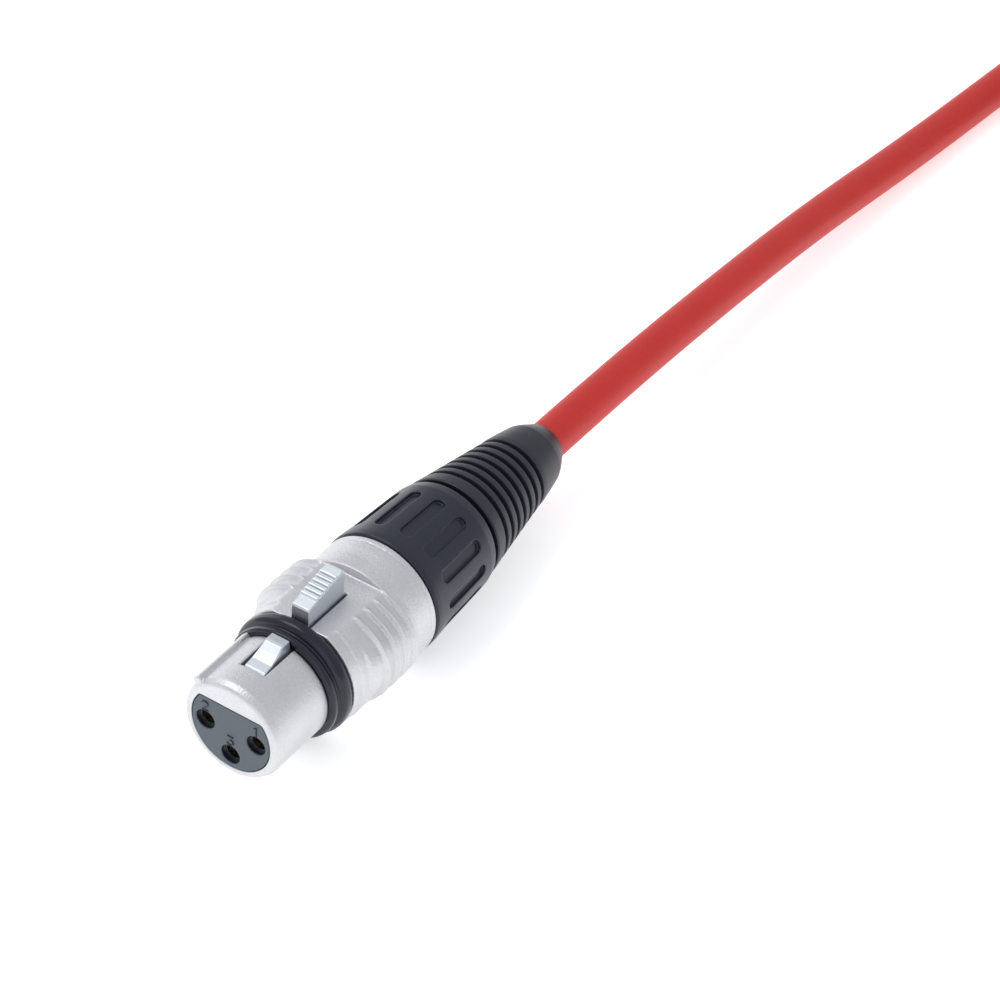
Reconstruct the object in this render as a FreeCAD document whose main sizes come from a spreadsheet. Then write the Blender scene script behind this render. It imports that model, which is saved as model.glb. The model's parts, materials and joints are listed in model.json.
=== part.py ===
import FreeCAD, Part
import math
import os
import re
import Sketcher

# A three-pole microphone lead: a red cable with a female cable connector on one end and a male
# one on the other. The female connector lies on the floor plane z = 0, its nose pointing along
# -X and its latch button up. The cable leaves along +X, droops to the floor, and all but its
# first stretch is folded into a hank held by a tie. The male connector lies beside the hank.
# Both connectors are described from their front face: "station" is the distance behind it
# along the connector's axis, and angles round the axis are measured from the top.

V = FreeCAD.Vector
doc = FreeCAD.newDocument("microphone_lead")

# ---------------------------------------------------------------- driving dimensions, mm
SIZES = {
    "connector_length": 76.5,
    "axis_height": 9.95,
    "male_x": 167.5,
    "male_y": -36.4,
    # die-cast shells
    "barrel_radius": 9.75,
    "barrel_length": 34.2,
    "barrel_front": 15.2,
    "step_radius": 9.55,
    "chamfer_radius": 9.2,
    "nose_radius": 7.95,
    "nose_rim_round": 1.0,
    "seat_start": 11.3,
    "seat_radius": 7.4,
    "window_radius": 6.55,
    "window_flat": 4.05,
    "solder_bore_radius": 6.6,
    "solder_bore_start": 16.4,
    "clamp_bore_radius": 8.0,
    "clamp_bore_start": 27.0,
    "nut_bore_radius": 8.3,
    "nut_bore_start": 28.8,
    "flat_height": 8.35,
    "flat_end": 27.4,
    "flat_half_width": 7.0,
    "rib_angle": 47.0,
    "rib_width": 1.5,
    "rib_radius": 8.65,
    "rib_end": 11.2,
    # side grip pads
    "pad_angle": 76.0,
    "pad_offset": 4.2,
    "pad_start": 18.2,
    "pad_end": 29.8,
    "pad_radius": 11.05,
    "ridge_radius": 11.35,
    "first_ridge": 20.8,
    "ridge_pitch": 2.2,
    # latch
    "channel_floor": 4.55,
    "channel_start": 4.7,
    "nose_channel_width": 4.2,
    "button_channel_width": 3.5,
    "channel_end": 26.4,
    "lever_width": 2.86,
    "pivot_station": 24.8,
    "pivot_height": 7.4,
    "trunnion_radius": 0.7,
    "trunnion_length": 4.7,
    "trunnion_play": 0.05,
    "hook_height": 9.03,
    "button_front": 15.3,
    "button_front_height": 11.3,
    "button_rear": 23.3,
    "button_rear_height": 13.0,
    "leaf_width": 2.4,
    # contacts
    "contact_side": 4.2,
    "contact_side_drop": 0.2,
    "contact_low": 4.3,
    "hole_radius": 1.5,
    "socket_radius": 1.45,
    "socket_bore": 1.25,
    "pin_radius": 1.2,
    "shoulder_radius": 1.7,
    "shoulder_start": 15.05,
    "cup_radius": 1.3,
    "cup_bore": 0.95,
    "insert_play": 0.05,
    # male shroud
    "shroud_bore": 8.25,
    "shroud_depth": 15.0,
    "insert_end": 20.2,
    "keyway_radius": 9.0,
    "keyway_width": 2.0,
    "recess_height": 9.15,
    "recess_width": 4.6,
    # clamp, nut and boot
    "jaw_bore": 3.3,
    "nut_front": 34.45,
    "nut_neck_radius": 8.22,
    "nut_end": 51.5,
    "nut_rear_bore": 7.1,
    "slot_count": 14,
    "slot_front": 37.6,
    "slot_rear": 47.4,
    "slot_width": 1.9,
    "slot_floor": 8.95,
    "slot_phase": 7.7,
    "boot_spigot_radius": 7.02,
    "boot_bore": 3.35,
    "boot_front": 51.8,
    "collar_start": 68.4,
    # cable
    "cable_radius": 3.25,
    "jacket_start": 26.5,
    "core_radius": 0.65,
    # hank: two folds joined by a narrow waist, and the strap round the waist
    "hank_x": 332.0,
    "hank_y": -18.25,
    "hank_half_span": 44.0,
    "hank_radius": 29.25,
    "hank_eye_radius": 16.0,
    "hank_height": 35.2,
    "waist_half_length": 14.0,
    "waist_half_width": 13.95,
    "waist_lift": 0.95,
    "tie_width": 16.0,
    "tie_thickness": 0.9,
}

sheet = doc.addObject("Spreadsheet::Sheet", "Dim")
for row, (alias, number) in enumerate(SIZES.items(), start=1):
    sheet.set("A%d" % row, alias.replace("_", " "))
    sheet.set("B%d" % row, "%g" % number)
    sheet.setAlias("B%d" % row, alias)
doc.recompute()


def linked(text):
    """A formula written with the sheet's aliases, made into a FreeCAD expression."""
    return re.sub(r"\b([a-z]\w*)", r"Dim.\1", str(text))


def size(text):
    """The present value of a formula, in mm or degrees."""
    return float(sheet.evalExpression(linked(text)))


# ---------------------------------------------------------------- sketches and features
def origin_plane(body, role):
    return next(item for item in body.Origin.OriginFeatures if item.Role == role)


def new_body(label):
    body = doc.addObject("PartDesign::Body", label)
    body.Label = label
    return body


def new_sketch(body, name, role, shift=None, turn=None):
    """A sketch on one of the body's own planes; shift moves it and turn is (axis, degrees)."""
    sketch = body.newObject("Sketcher::SketchObject", name)
    sketch.AttachmentSupport = (origin_plane(body, role), [""])
    sketch.MapMode = "FlatFace"
    rotation = FreeCAD.Rotation(*turn) if turn else FreeCAD.Rotation()
    sketch.AttachmentOffset = FreeCAD.Placement(V(*(size(c) for c in shift or (0, 0, 0))), rotation)
    for axis, text in zip("xyz", shift or ()):
        sketch.setExpression("AttachmentOffset.Base." + axis, linked(text))
    doc.recompute()
    return sketch


def tie_point(sketch, edge, end, corner):
    """Holds one end of an edge at the two formulas of a corner."""
    for kind, text in zip(("DistanceX", "DistanceY"), corner):
        index = sketch.addConstraint(Sketcher.Constraint(kind, -1, 1, edge, end, size(text)))
        sketch.setExpression("Constraints[%d]" % index, linked(text))


def polygon(sketch, corners):
    """A closed outline of straight edges through the corners."""
    points = [V(size(a), size(b), 0) for a, b in corners]
    first = len(sketch.Geometry)
    count = len(points)
    for i in range(count):
        sketch.addGeometry(Part.LineSegment(points[i], points[(i + 1) % count]), False)
    for i in range(count):
        following = first + (i + 1) % count
        sketch.addConstraint(Sketcher.Constraint("Coincident", first + i, 2, following, 1))
    for i, corner in enumerate(corners):
        tie_point(sketch, first + i, 1, corner)
    return sketch


def rectangle(sketch, low, high):
    return polygon(sketch, [low, (high[0], low[1]), high, (low[0], high[1])])


def circle(sketch, centre, radius):
    where = V(size(centre[0]), size(centre[1]), 0)
    edge = sketch.addGeometry(Part.Circle(where, V(0, 0, 1), size(radius)), False)
    tie_point(sketch, edge, 3, centre)
    index = sketch.addConstraint(Sketcher.Constraint("Radius", edge, size(radius)))
    sketch.setExpression("Constraints[%d]" % index, linked(radius))
    return sketch


def flat_topped_circle(sketch, radius, flat):
    """A circle round the origin, cut by a level chord above its centre."""
    start = math.pi - math.asin(size(flat) / size(radius))
    end = 2 * math.pi + math.asin(size(flat) / size(radius))
    whole = Part.Circle(V(0, 0, 0), V(0, 0, 1), size(radius))
    arc = sketch.addGeometry(Part.ArcOfCircle(whole, start, end), False)
    ends = [V(size(radius) * math.cos(a), size(flat), 0) for a in (end, start)]
    chord = sketch.addGeometry(Part.LineSegment(*ends), False)
    sketch.addConstraint(Sketcher.Constraint("Coincident", arc, 3, -1, 1))
    sketch.addConstraint(Sketcher.Constraint("Coincident", arc, 2, chord, 1))
    sketch.addConstraint(Sketcher.Constraint("Coincident", arc, 1, chord, 2))
    sketch.addConstraint(Sketcher.Constraint("Horizontal", chord))
    index = sketch.addConstraint(Sketcher.Constraint("Radius", arc, size(radius)))
    sketch.setExpression("Constraints[%d]" % index, linked(radius))
    index = sketch.addConstraint(Sketcher.Constraint("DistanceY", -1, 1, chord, 1, size(flat)))
    sketch.setExpression("Constraints[%d]" % index, linked(flat))
    return sketch


def spin(body, name, sketch, cut=False, axis="H_Axis"):
    """Turns a sketch a full circle round an axis of its own, adding or cutting."""
    kind = "PartDesign::Groove" if cut else "PartDesign::Revolution"
    feature = body.newObject(kind, name)
    feature.Profile = sketch
    feature.ReferenceAxis = (sketch, [axis])
    feature.Angle = 360
    return finish_feature(body, feature, cut)


def extrude(body, name, sketch, length, cut=False, both_ways=False, backwards=False):
    """Pads or pockets a sketch by a length; a pocket forwards goes along the sketch's normal."""
    feature = body.newObject("PartDesign::Pocket" if cut else "PartDesign::Pad", name)
    feature.Profile = sketch
    feature.Midplane = both_ways
    feature.Reversed = cut != backwards
    feature.Length = size(length)
    feature.setExpression("Length", linked(length))
    return finish_feature(body, feature, cut)


def finish_feature(body, feature, cut):
    """Recomputes, and stops if a cut takes nothing away or an addition adds nothing."""
    doc.recompute()
    base = feature.BaseFeature
    before = base.Shape.Volume if base else 0.0
    change = feature.Shape.Volume - before
    if (change > -1e-3) if cut else (change < 1e-3):
        raise RuntimeError("%s in %s changes the volume by %.4f" % (feature.Label, body.Label, change))
    return feature


def repeat_round(body, name, feature, count):
    pattern = body.newObject("PartDesign::PolarPattern", name)
    pattern.Originals = [feature]
    pattern.Axis = (origin_plane(body, "X_Axis"), [""])
    pattern.Angle = 360
    pattern.Occurrences = int(size(count))
    body.Tip = pattern
    doc.recompute()
    return pattern


def mirror_sideways(body, name, feature):
    mirrored = body.newObject("PartDesign::Mirrored", name)
    mirrored.Originals = [feature]
    mirrored.MirrorPlane = (origin_plane(body, "XZ_Plane"), [""])
    body.Tip = mirrored
    doc.recompute()
    return mirrored


def round_edges(body, name, base, wanted, radius):
    """Fillets the edges of the base feature that the test picks."""
    edges = ["Edge%d" % n for n, e in enumerate(base.Shape.Edges, start=1) if wanted(e)]
    fillet = body.newObject("PartDesign::Fillet", name)
    fillet.Base = (base, edges)
    fillet.Radius = size(radius)
    fillet.setExpression("Radius", linked(radius))
    doc.recompute()
    return fillet


PARTS = {}


def keep(label, thing, x, y, z):
    """Puts a sub-part in its place and lists it for writing."""
    thing.Label = label
    thing.Placement = FreeCAD.Placement(V(size(x), size(y), size(z)), FreeCAD.Rotation())
    for axis, text in zip("xyz", (x, y, z)):
        thing.setExpression("Placement.Base." + axis, linked(text))
    PARTS[label] = thing


# Where each connector's own zero station lies in the part's frame.
PLACE = {"female": ("-connector_length / 2", "0"), "male": ("male_x", "male_y")}

# The contacts' places round the axis, seen from the female face: 2 at left, 1 at right, 3 low.
# The male side is the mirror image.
CONTACTS = {
    1: ("-contact_side", "-contact_side_drop"),
    2: ("contact_side", "-contact_side_drop"),
    3: ("0", "-contact_low"),
}


def contact_place(end, number):
    side, height = CONTACTS[number]
    return (side, height) if end == "female" else ("-(%s)" % side, height)


def put(end, label, thing, side="0", height="0"):
    x, y = PLACE[end]
    keep(label, thing, x, "%s + (%s)" % (y, side), "axis_height + (%s)" % height)


# ---------------------------------------------------------------- shells
def add_grip_pads(body):
    """A lens-shaped pad on each side of the barrel, with four raised ridges round it."""
    tilt = (V(1, 0, 0), -size("pad_angle"))
    sketch = new_sketch(body, "pad_profile", "XZ_Plane", turn=tilt)
    corners = [("pad_start", "pad_offset"), ("pad_start", "barrel_radius - 0.5")]
    for i in range(4):
        middle = "first_ridge + %d * ridge_pitch" % i
        corners.append((middle + " - 0.75", "pad_radius"))
        corners.append((middle + " - 0.35", "ridge_radius"))
        corners.append((middle + " + 0.35", "ridge_radius"))
        corners.append((middle + " + 0.75", "pad_radius"))
    corners += [("pad_end", "barrel_radius - 0.2"), ("pad_end", "pad_offset")]
    polygon(sketch, corners)
    line = Part.LineSegment(V(0, size("pad_offset"), 0), V(40, size("pad_offset"), 0))
    axis = sketch.addGeometry(line, True)
    tie_point(sketch, axis, 1, ("0", "pad_offset"))
    sketch.addConstraint(Sketcher.Constraint("Horizontal", axis))
    pad = spin(body, "grip_pad", sketch, axis="Axis0")
    return mirror_sideways(body, "grip_pads", pad)


def make_female_shell():
    body = new_body("female_shell")
    outside = polygon(new_sketch(body, "outside", "XZ_Plane"), [
        ("0", "0"), ("0", "nose_radius"), ("seat_start", "nose_radius"),
        ("seat_start", "seat_radius"), ("barrel_front", "seat_radius"),
        ("barrel_front", "chamfer_radius"), ("barrel_front + 0.35", "step_radius"),
        ("barrel_front + 1.7", "step_radius"), ("barrel_front + 1.9", "barrel_radius"),
        ("barrel_length - 0.3", "barrel_radius"), ("barrel_length", "barrel_radius - 0.3"),
        ("barrel_length", "0")])
    barrel = spin(body, "barrel", outside)
    is_rim = lambda edge: edge.BoundBox.XMax < 0.01 and edge.BoundBox.ZMax > size("nose_radius") - 0.1
    round_edges(body, "rounded_rim", barrel, is_rim, "nose_rim_round")
    add_grip_pads(body)

    # The key rib along the nose, on the left seen from the front.
    turned = (V(0, 0, 1), -size("rib_angle"))
    rib = new_sketch(body, "rib_section", "YZ_Plane", ("0", "0", "0.6"), turned)
    rectangle(rib, ("-rib_width / 2", "nose_radius - 0.6"), ("rib_width / 2", "rib_radius"))
    extrude(body, "key_rib", rib, "rib_end - 0.6")

    # The level land round the button, open at the front and closed by a wall behind.
    land = new_sketch(body, "land_outline", "XY_Plane", ("0", "0", "flat_height"))
    rectangle(land, ("barrel_front - 0.2", "-flat_half_width"), ("flat_end", "flat_half_width"))
    extrude(body, "land", land, "5", cut=True)

    # Bores: the flat-topped one that holds the insert, then the room for the solder joints,
    # the clamp's seat and the widest one, which takes the nut's neck.
    window = new_sketch(body, "window_outline", "YZ_Plane")
    flat_topped_circle(window, "window_radius", "window_flat")
    extrude(body, "window", window, "solder_bore_start + 0.1", cut=True)
    bores = polygon(new_sketch(body, "bore_profile", "XZ_Plane"), [
        ("solder_bore_start", "0"), ("solder_bore_start", "solder_bore_radius"),
        ("clamp_bore_start", "solder_bore_radius"), ("clamp_bore_start", "clamp_bore_radius"),
        ("nut_bore_start", "clamp_bore_radius"), ("nut_bore_start", "nut_bore_radius"),
        ("barrel_length + 0.1", "nut_bore_radius"), ("barrel_length + 0.1", "0")])
    spin(body, "bores", bores, cut=True)

    # The latch's channel: wide through the nose, narrower under the button.
    channel = polygon(new_sketch(body, "channel_outline", "XY_Plane", ("0", "0", "channel_floor")), [
        ("channel_start", "-nose_channel_width / 2"), ("barrel_front", "-nose_channel_width / 2"),
        ("barrel_front", "-button_channel_width / 2"), ("channel_end", "-button_channel_width / 2"),
        ("channel_end", "button_channel_width / 2"), ("barrel_front", "button_channel_width / 2"),
        ("barrel_front", "nose_channel_width / 2"), ("channel_start", "nose_channel_width / 2")])
    extrude(body, "channel", channel, "8", cut=True)
    pivot = circle(new_sketch(body, "pivot_circle", "XZ_Plane"), ("pivot_station", "pivot_height"),
                   "trunnion_radius + trunnion_play")
    extrude(body, "pivot_holes", pivot, "trunnion_length + 0.4", cut=True, both_ways=True)
    put("female", "female_shell", body)


def make_male_shell():
    body = new_body("male_shell")
    outside = polygon(new_sketch(body, "outside", "XZ_Plane"), [
        ("0", "0"), ("0", "step_radius - 0.3"), ("0.3", "step_radius"), ("barrel_front", "step_radius"),
        ("barrel_front + 0.2", "barrel_radius"), ("barrel_length - 0.3", "barrel_radius"),
        ("barrel_length", "barrel_radius - 0.3"), ("barrel_length", "0")])
    spin(body, "barrel", outside)
    add_grip_pads(body)
    inside = polygon(new_sketch(body, "bore_profile", "XZ_Plane"), [
        ("-0.1", "0"), ("-0.1", "shroud_bore"), ("insert_end", "shroud_bore"),
        ("insert_end", "solder_bore_radius"), ("clamp_bore_start", "solder_bore_radius"),
        ("clamp_bore_start", "clamp_bore_radius"), ("nut_bore_start", "clamp_bore_radius"),
        ("nut_bore_start", "nut_bore_radius"), ("barrel_length + 0.1", "nut_bore_radius"),
        ("barrel_length + 0.1", "0")])
    spin(body, "bores", inside, cut=True)

    # Inside the shroud: the keyway for the rib and the recess that the latch hook drops into.
    turned = (V(0, 0, 1), size("rib_angle"))
    keyway = new_sketch(body, "keyway_section", "YZ_Plane", ("0", "0", "-0.1"), turned)
    rectangle(keyway, ("-keyway_width / 2", "shroud_bore - 1"), ("keyway_width / 2", "keyway_radius"))
    extrude(body, "keyway", keyway, "12", cut=True)
    recess = new_sketch(body, "recess_outline", "XY_Plane", ("0", "0", "7"))
    rectangle(recess, ("1", "-recess_width / 2"), ("7", "recess_width / 2"))
    extrude(body, "latch_recess", recess, "recess_height - 7", cut=True)
    put("male", "male_shell", body)


def make_nose_ring():
    """The stepped rubber ring in the groove behind the nose: thin front lip, groove, bead."""
    body = new_body("nose_ring")
    profile = polygon(new_sketch(body, "profile", "XZ_Plane"), [
        ("seat_start + 0.02", "seat_radius + 0.02"), ("seat_start + 0.02", "8.55"),
        ("seat_start + 0.25", "8.85"), ("seat_start + 0.95", "8.9"), ("seat_start + 1.15", "8.6"),
        ("seat_start + 1.55", "8.6"), ("seat_start + 1.8", "9.15"), ("seat_start + 2.3", "9.5"),
        ("seat_start + 3.1", "9.55"), ("seat_start + 3.6", "9.3"), ("seat_start + 3.7", "9.0"),
        ("seat_start + 3.7", "seat_radius + 0.02")])
    spin(body, "ring", profile)
    put("female", "nose_ring", body)


# ---------------------------------------------------------------- latch
def make_latch():
    """Button, bridge and hook are one lever, on two trunnions at its rear."""
    body = new_body("latch_lever")
    corners = [
        ("channel_start + 0.45", "6.4"), ("channel_start + 0.45", "7.0"), ("5.7", "7.25"),
        ("7.2", "7.55"), ("8.5", "8.2"), ("9.4", "hook_height"), ("11.0", "hook_height"),
        ("11.0", "6.9"), ("button_front", "6.9"), ("button_front", "button_front_height - 0.1"),
        ("button_front + 0.15", "button_front_height")]
    slope = "(button_rear_height - button_front_height) / (button_rear - button_front)"
    for i in range(6):
        start = "button_front + 1.5 + %g" % (0.82 * i)
        for along, raised in ((0, 0), (0.14, 0.22), (0.42, 0.22), (0.56, 0)):
            place = "%s + %g" % (start, along)
            height = "button_front_height + (%s - button_front) * %s + %g" % (place, slope, raised)
            corners.append((place, height))
    corners += [
        ("button_rear", "button_rear_height"), ("23.55", "12.6"), ("23.5", "11.4"), ("23.7", "10.2"),
        ("24.2", "9.2"), ("pivot_station + 0.2", "8.65"), ("pivot_station + 0.9", "8.3"),
        ("pivot_station + 1.2", "pivot_height"), ("pivot_station + 0.8", "6.5"),
        ("pivot_station", "6.15"), ("16.5", "5.6")]
    side = polygon(new_sketch(body, "side_outline", "XZ_Plane"), corners)
    extrude(body, "lever", side, "lever_width", both_ways=True)
    trunnion = circle(new_sketch(body, "trunnion_circle", "XZ_Plane"), ("pivot_station", "pivot_height"),
                      "trunnion_radius")
    extrude(body, "trunnions", trunnion, "trunnion_length", both_ways=True)
    put("female", "latch_lever", body)

    # The leaf spring lies on the channel's floor and its free end bears up under the lever.
    body = new_body("latch_spring")
    side = polygon(new_sketch(body, "side_outline", "XZ_Plane"), [
        ("7.5", "channel_floor + 0.02"), ("7.5", "channel_floor + 0.3"), ("9.6", "channel_floor + 0.3"),
        ("13.9", "5.38"), ("14.6", "5.3"), ("14.6", "5.02"), ("13.9", "5.1"),
        ("9.8", "channel_floor + 0.02")])
    extrude(body, "leaf", side, "leaf_width", both_ways=True)
    put("female", "latch_spring", body)


# ---------------------------------------------------------------- inserts and contacts
def bore_contact_holes(body, end, start, length, radius):
    sketch = new_sketch(body, "hole_circles", "YZ_Plane", ("0", "0", start))
    for number in CONTACTS:
        circle(sketch, contact_place(end, number), radius)
    extrude(body, "contact_holes", sketch, length, cut=True)


def make_inserts():
    body = new_body("socket_insert")
    outline = new_sketch(body, "outline", "YZ_Plane", ("0", "0", "0.05"))
    flat_topped_circle(outline, "window_radius - insert_play", "window_flat - insert_play")
    extrude(body, "block", outline, "solder_bore_start")
    bore_contact_holes(body, "female", "-0.1", "solder_bore_start + 1", "hole_radius")
    put("female", "socket_insert", body)

    body = new_body("pin_insert")
    outline = new_sketch(body, "outline", "YZ_Plane", ("0", "0", "shroud_depth"))
    circle(outline, ("0", "0"), "shroud_bore - insert_play")
    extrude(body, "disc", outline, "insert_end - shroud_depth - 0.05")
    bore_contact_holes(body, "male", "shroud_depth - 0.1", "8", "shoulder_radius + insert_play")
    put("male", "pin_insert", body)


def make_contacts():
    """Socket sleeves and shouldered pins, each with a solder cup behind the insert."""
    for number in CONTACTS:
        body = new_body("socket_contact_%d" % number)
        profile = polygon(new_sketch(body, "profile", "XZ_Plane"), [
            ("1.0", "socket_bore"), ("1.0", "socket_radius"), ("16.6", "socket_radius"),
            ("16.6", "cup_radius"), ("20.4", "cup_radius"), ("20.4", "cup_bore"), ("17.4", "cup_bore"),
            ("17.4", "0"), ("14.8", "0"), ("14.8", "socket_bore")])
        spin(body, "sleeve", profile)
        put("female", body.Label, body, *contact_place("female", number))

        body = new_body("pin_contact_%d" % number)
        tip = "3.4" if number == 1 else "4.4"
        profile = polygon(new_sketch(body, "profile", "XZ_Plane"), [
            (tip, "0"), (tip, "0.55"), (tip + " + 0.25", "0.95"), (tip + " + 0.8", "pin_radius"),
            ("shoulder_start", "pin_radius"), ("shoulder_start", "shoulder_radius"),
            ("23.2", "shoulder_radius"), ("23.2", "cup_bore"), ("20.8", "cup_bore"), ("20.8", "0")])
        spin(body, "pin", profile)
        put("male", body.Label, body, *contact_place("male", number))


# ---------------------------------------------------------------- cable clamp, nut and boot
def make_chuck(end):
    """The split collet that grips the jacket when the nut is tightened."""
    body = new_body(end + "_cable_chuck")
    profile = polygon(new_sketch(body, "profile", "XZ_Plane"), [
        ("clamp_bore_start + 0.1", "jaw_bore"), ("clamp_bore_start + 0.1", "7.9"),
        ("clamp_bore_start + 2.2", "7.9"), ("clamp_bore_start + 2.2", "6.3"), ("41", "5.2"),
        ("41", "jaw_bore")])
    spin(body, "collet", profile)
    slit = new_sketch(body, "slit_outline", "XY_Plane", ("0", "0", "jaw_bore - 0.5"))
    rectangle(slit, ("31", "-0.4"), ("41.5", "0.4"))
    cut = extrude(body, "slit", slit, "6", cut=True)
    repeat_round(body, "slits", cut, "4")
    put(end, body.Label, body)


def make_nut(end):
    """The clamp nut: a neck inside the shell, a tapered body with round-ended grip slots."""
    body = new_body(end + "_clamp_nut")
    profile = polygon(new_sketch(body, "profile", "XZ_Plane"), [
        ("29.6", "6.9"), ("29.6", "nut_neck_radius"), ("nut_front", "nut_neck_radius"),
        ("nut_front", "9.7"), ("nut_front + 0.25", "axis_height"), ("nut_front + 1.2", "axis_height"),
        ("38.8", "9.66"), ("44", "9.42"), ("nut_end - 2.2", "9.15"), ("nut_end - 0.9", "8.85"),
        ("nut_end - 0.2", "8.3"), ("nut_end", "7.8"), ("nut_end", "nut_rear_bore"),
        ("43.5", "nut_rear_bore"), ("43.5", "5.7"), ("41.5", "5.7")])
    spin(body, "nut", profile)
    turned = (V(1, 0, 0), size("slot_phase"))
    slot = new_sketch(body, "slot_outline", "XY_Plane")
    slot.AttachmentOffset = FreeCAD.Placement(V(0, 0, 0), FreeCAD.Rotation(*turned)).multiply(
        FreeCAD.Placement(V(0, 0, size("slot_floor")), FreeCAD.Rotation()))
    outline = [(0, -0.2), (0.3, -0.5), (0.3, 0.5), (0, 0.2)]
    front = [("slot_front + %g * slot_width" % a, "%g * slot_width" % b) for a, b in outline]
    rear = [("slot_rear - %g * slot_width" % a, "%g * slot_width" % b) for a, b in outline]
    polygon(slot, front[:2] + rear[1::-1] + rear[:1:-1] + front[2:])
    cut = extrude(body, "slot", slot, "3", cut=True)
    repeat_round(body, "grip_slots", cut, "slot_count")
    put(end, body.Label, body)


def make_boot(end):
    """The strain relief: a spigot held in the nut, a grooved cone and a smooth end collar."""
    body = new_body(end + "_boot")
    corners = [
        ("44", "boot_bore"), ("44", "boot_spigot_radius"), ("boot_front", "boot_spigot_radius"),
        ("boot_front", "8.55"), ("boot_front + 1.9", "8.3")]
    for i in range(7):
        start = 54.1 + 2.05 * i
        outer = 8.25 - 0.148 * (start - 54.1)
        for along, deep in ((0, 0), (0.2, 0.85), (0.8, 0.92), (1.0, 0.14)):
            corners.append(("%g" % (start + along), "%g" % (outer - deep)))
    corners += [
        ("collar_start", "6.2"), ("72", "5.6"), ("connector_length - 3", "5.3"),
        ("connector_length - 1.6", "4.75"), ("connector_length - 0.5", "4.1"),
        ("connector_length", "3.75"), ("connector_length", "boot_bore")]
    spin(body, "cone", polygon(new_sketch(body, "profile", "XZ_Plane"), corners))
    put(end, body.Label, body)


# ---------------------------------------------------------------- cable
def rounded_path(points):
    """Straight runs joined by tangent arcs, each as large as its two runs allow."""
    points = [V(*p) for p in points]
    edges = []
    radii = []
    start = points[0]
    for before, corner, after in zip(points, points[1:], points[2:]):
        back = (before - corner).normalize()
        ahead = (after - corner).normalize()
        shorter = min(before.distanceToPoint(corner), after.distanceToPoint(corner))
        turn = math.pi - back.getAngle(ahead)
        reach = 0.45 * shorter
        radius = reach / math.tan(turn / 2)
        radii.append(radius)
        entry = corner + back * reach
        leave = corner + ahead * reach
        inward = (back + ahead).normalize()
        middle = corner + inward * (radius / math.cos(turn / 2) - radius)
        edges.append(Part.LineSegment(start, entry).toShape())
        edges.append(Part.Arc(entry, middle, leave).toShape())
        start = leave
    edges.append(Part.LineSegment(start, points[-1]).toShape())
    return Part.Wire(edges), radii


def tube(name, points, radius):
    """A round tube along a rounded path, with its volume checked."""
    path, radii = rounded_path(points)
    ahead = V(*points[1]) - V(*points[0])
    section = Part.Wire([Part.Circle(V(*points[0]), ahead, size(radius)).toShape()])
    shape = path.makePipeShell([section], True, False)
    expected = math.pi * size(radius) ** 2 * path.Length
    if abs(shape.Volume / expected - 1) > 0.01:
        raise RuntimeError("%s: volume %.1f, expected %.1f" % (name, shape.Volume, expected))
    print("%s: length %.1f mm, bend radii %s" % (name, path.Length, ["%.0f" % r for r in radii]))
    thing = doc.addObject("Part::Feature", name)
    thing.Shape = shape
    return thing


def make_cable_end(end):
    """The jacket inside the connector, and the three conductors fanned out to their cups."""
    body = new_body(end + "_cable_end")
    outline = new_sketch(body, "outline", "YZ_Plane", ("0", "0", "jacket_start"))
    circle(outline, ("0", "0"), "cable_radius")
    extrude(body, "jacket", outline, "connector_length - jacket_start")
    put(end, body.Label, body)

    cup = 18.0 if end == "female" else 21.1
    names = {1: "_shield_pigtail", 2: "_hot_core", 3: "_cold_core"}
    for number in CONTACTS:
        side, height = (size(text) for text in contact_place(end, number))
        gather = 0.4
        last = size("jacket_start")
        ahead = (last - cup) * 0.42
        route = [(cup, side, height), (cup + ahead, side, height),
                 (last - ahead * 0.6, gather * side, gather * height), (last, gather * side, gather * height)]
        put(end, end + names[number], tube(end + names[number], route, "core_radius"))


# The stretch of cable before the hank: out of the boot along the axis and down to the floor.
RUN_ROUTE = [
    (38.25, 0, 9.95), (60, 0, 9.95), (88, -0.2, 9.0), (120, -0.7, 6.2), (154, -2.6, 3.6),
    (180, -5.0, 3.25), (207, -7.2, 3.25), (236, -6.0, 3.25), (264, 1.0, 3.25), (280, 6.95, 3.25),
    (296, 5.15, 3.25)]

# From the hank's last fold to the boot of the male connector.
TAIL_ROUTE = [
    (306, -39.85, 9.6), (295, -43.85, 9.95), (284, -44.45, 9.95), (273, -41.45, 9.95),
    (262, -37.85, 9.95), (251, -36.4, 9.95), (244, -36.4, 9.95)]


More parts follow.
